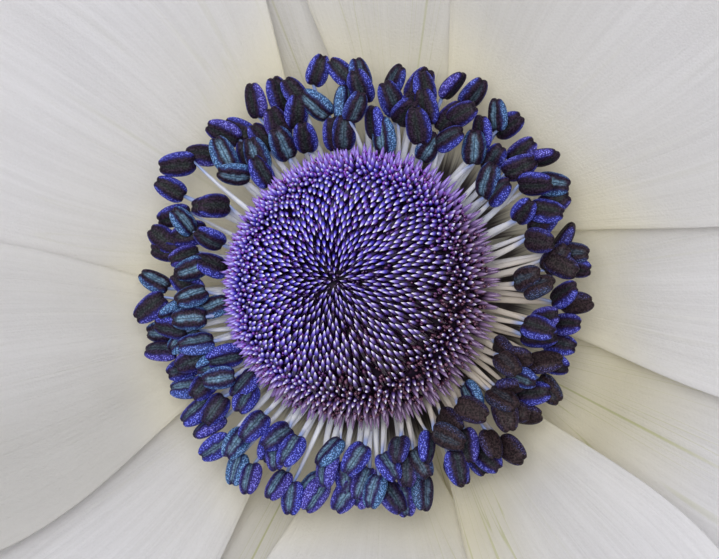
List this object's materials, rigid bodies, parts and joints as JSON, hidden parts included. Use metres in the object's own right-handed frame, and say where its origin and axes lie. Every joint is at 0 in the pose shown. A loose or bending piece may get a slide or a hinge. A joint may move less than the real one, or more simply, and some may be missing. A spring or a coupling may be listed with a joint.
{
  "type": "anemone flower",
  "caption": "White anemone bloom lying face up: broad tepals in three tiers, a ring of blue-black stamens and a violet domed head of styles.",
  "frame": {"origin": "on the surface the bloom lies on, under the middle of the bloom", "axes": "+Z up, along the flower's axis, out of its face; +X to the right and +Y up as the bloom is seen from above"},
  "size_m": [0.0755, 0.0755, 0.0145],
  "materials": {
    "tepal": "satin, finely veined, white with a faint green tint near the base",
    "stamen": "pebbly blue-black anthers on white-lavender filaments",
    "style": "glossy violet styles with pale tips",
    "stem": "soft green, finely hairy"
  },
  "bodies": {
    "root": {"stem": "stem", "stamens": "stamen", "pistil_head": "style", "tepal_inner_1": "tepal", "tepal_inner_2": "tepal", "tepal_inner_3": "tepal", "tepal_middle_1": "tepal", "tepal_middle_2": "tepal", "tepal_middle_3": "tepal", "tepal_middle_4": "tepal", "tepal_middle_5": "tepal", "tepal_outer_1": "tepal", "tepal_outer_2": "tepal", "tepal_outer_3": "tepal", "tepal_outer_4": "tepal"}
  },
  "joints": []
}
